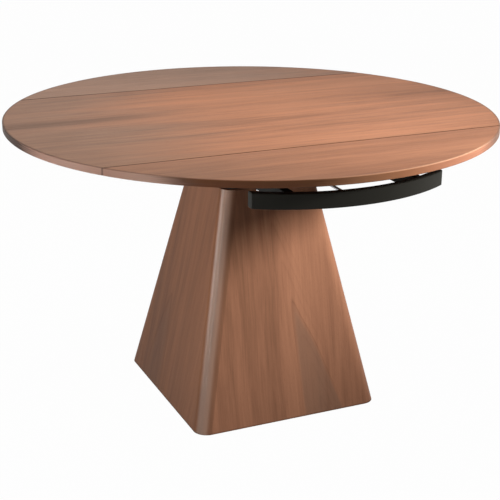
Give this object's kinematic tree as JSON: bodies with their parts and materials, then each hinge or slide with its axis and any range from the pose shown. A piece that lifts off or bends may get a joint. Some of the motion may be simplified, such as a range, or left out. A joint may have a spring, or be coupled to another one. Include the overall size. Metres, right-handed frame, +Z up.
{
  "type": "swivel extending table",
  "caption": "Round pedestal dining table: the top swivels on a ball bearing and its end leaves pull out together on rails to let in insert boards.",
  "frame": {"origin": "on the floor under the middle of the pedestal", "axes": "+Z up, +Y along the pull of the leaves towards the back leaf, +X along the seams of the top"},
  "size_m": [1.2649, 1.2648, 0.76],
  "materials": {
    "top_veneer": "satin lacquered walnut veneer, grain along the seams",
    "base_veneer": "satin lacquered walnut veneer, grain upright",
    "raw_timber": "bare sanded timber and plywood",
    "cap_board": "black stained board",
    "bar_black": "satin black powder coat",
    "frame_black": "satin black powder coat",
    "bright_steel": "zinc plated and ground steel",
    "cage_brass": "plain",
    "slide_plastic": "black nylon",
    "pad_rubber": "matt"
  },
  "bodies": {
    "pedestal": {"front_panel": "base_veneer", "right_panel": "base_veneer", "back_panel": "base_veneer", "left_panel": "base_veneer", "corner_blocks": "raw_timber", "floor_pad": "pad_rubber", "bottom_board": "raw_timber", "ballast_plate": "frame_black", "column_base_flange": "frame_black", "column": "frame_black", "column_head_flange": "frame_black", "flange_bolts": "bright_steel", "pedestal_cap": "cap_board", "lower_race": "bright_steel", "race_screws": "bright_steel", "pivot_bolt": "bright_steel", "pivot_nut": "bright_steel"},
    "ball_cage": {"bearing_cage": "cage_brass", "bearing_balls": "bright_steel"},
    "turntable": {"upper_race": "bright_steel", "swivel_plate": "frame_black", "pivot_bush": "cage_brass", "front_beam": "frame_black", "back_beam": "frame_black", "left_sleeve": "frame_black", "right_sleeve": "frame_black", "rail_bolts": "bright_steel", "spine_beam": "frame_black", "left_stiffener": "frame_black", "right_stiffener": "frame_black", "panel_screws": "bright_steel", "centre_panel": "top_veneer", "rack_guides": "slide_plastic", "pinion_bridge": "frame_black", "pinion_pin": "bright_steel"},
    "pinion": {"sync_pinion": "bright_steel"},
    "front_carriage": {"front_leaf": "top_veneer", "front_pull_bar": "bar_black", "front_left_rail": "frame_black", "front_right_rail": "frame_black", "front_cleats": "slide_plastic", "front_rail_glides": "slide_plastic", "front_cross_bar": "frame_black", "front_insert_arms": "frame_black", "front_rack": "bright_steel", "front_leaf_bolts": "bright_steel", "front_seam_dowels": "raw_timber"},
    "back_carriage": {"back_leaf": "top_veneer", "back_pull_bar": "bar_black", "back_left_rail": "frame_black", "back_right_rail": "frame_black", "back_cleats": "slide_plastic", "back_rail_glides": "slide_plastic", "back_cross_bar": "frame_black", "back_insert_arms": "frame_black", "back_rack": "bright_steel", "back_leaf_bolts": "bright_steel", "back_seam_dowels": "raw_timber"},
    "front_insert_board": {"front_insert": "top_veneer"},
    "back_insert_board": {"back_insert": "top_veneer"}
  },
  "joints": [
    {"name": "top_swivel", "type": "hinge", "parent": "pedestal", "child": "turntable", "pos_m": [0, 0, 0.6261], "axis": [0, 0, 1], "continuous": true},
    {"name": "cage_roll", "type": "hinge", "parent": "pedestal", "child": "ball_cage", "pos_m": [0, 0, 0.6261], "axis": [0, 0, 1], "continuous": true},
    {"name": "front_slide", "type": "slide", "parent": "turntable", "child": "front_carriage", "axis": [0, -1, 0], "range_m": [0, 0.25]},
    {"name": "back_slide", "type": "slide", "parent": "turntable", "child": "back_carriage", "axis": [0, 1, 0], "range_m": [0, 0.25]},
    {"name": "pinion_turn", "type": "hinge", "parent": "turntable", "child": "pinion", "pos_m": [0, 0, 0.698], "axis": [0, 0, 1], "range_deg": [-2, 799]},
    {"name": "front_insert_slide", "type": "slide", "parent": "front_carriage", "child": "front_insert_board", "axis": [0, -1, 0], "range_m": [0, 0.0905]},
    {"name": "back_insert_slide", "type": "slide", "parent": "back_carriage", "child": "back_insert_board", "axis": [0, 1, 0], "range_m": [0, 0.0905]}
  ],
  "couplings": [
    {"joint": "cage_roll", "follows": "top_swivel", "ratio": 0.5},
    {"joint": "back_slide", "follows": "front_slide", "ratio": 1},
    {"joint": "pinion_turn", "follows": "front_slide", "rad_per_m": 55.556}
  ]
}
